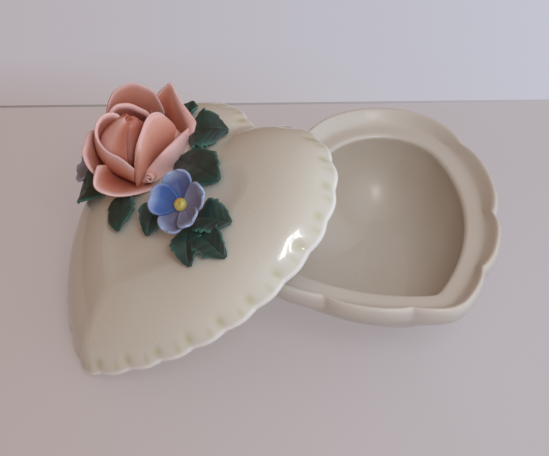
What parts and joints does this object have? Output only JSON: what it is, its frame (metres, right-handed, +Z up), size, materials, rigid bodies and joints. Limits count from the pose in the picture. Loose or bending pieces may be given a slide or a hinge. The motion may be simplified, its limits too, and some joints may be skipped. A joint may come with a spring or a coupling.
{
  "type": "heart-shaped trinket box",
  "caption": "Heart-shaped porcelain trinket box: scalloped bowl base with a ledge, and a domed lid leaning off it, with an applied rose, leaves and small blue flowers.",
  "frame": {"origin": "middle of the base's flat foot, on the table", "axes": "+Z up, the heart's tip towards -Y and its cleft towards +Y, X across the two lobes; the lid leans on the -X side"},
  "size_m": [0.1467, 0.131, 0.071],
  "materials": {
    "porcelain": "clear glossy glaze over off-white body",
    "rose_pink": "glossy salmon-pink glaze, paler at petal edges",
    "leaf_green": "satin dark teal green",
    "flower_blue": "satin blue, greyer at the edges",
    "flower_violet": "satin blue-violet",
    "bead_yellow": "glossy yellow"
  },
  "bodies": {
    "base": {"base_bowl": "porcelain"},
    "lid": {"blue_flower_bead": "bead_yellow", "blue_flower_petal_1": "flower_blue", "blue_flower_petal_2": "flower_blue", "blue_flower_petal_3": "flower_blue", "blue_flower_petal_4": "flower_blue", "blue_flower_petal_5": "flower_blue", "leaf_back": "leaf_green", "leaf_back_right": "leaf_green", "leaf_below_blue": "leaf_green", "leaf_front": "leaf_green", "leaf_front_left": "leaf_green", "leaf_front_right": "leaf_green", "leaf_left": "leaf_green", "leaf_right": "leaf_green", "leaf_right_of_blue": "leaf_green", "lid_shell": "porcelain", "rose_back_left_petal": "rose_pink", "rose_back_right_petal": "rose_pink", "rose_bud": "rose_pink", "rose_front_petal": "rose_pink", "rose_inner_petal_left": "rose_pink", "rose_inner_petal_right": "rose_pink", "rose_left_petal": "rose_pink", "rose_middle_petal_back": "rose_pink", "rose_middle_petal_left": "rose_pink", "rose_right_petal": "rose_pink", "violet_flower_bead": "bead_yellow", "violet_flower_petal_1": "flower_violet", "violet_flower_petal_2": "flower_violet", "violet_flower_petal_3": "flower_violet", "violet_flower_petal_4": "flower_violet", "violet_flower_petal_5": "flower_violet"}
  },
  "joints": [
    {"name": "lid_lift", "type": "slide", "parent": "base", "child": "lid", "axis": [0, 0, 1], "range_m": [0, 0.07]}
  ]
}
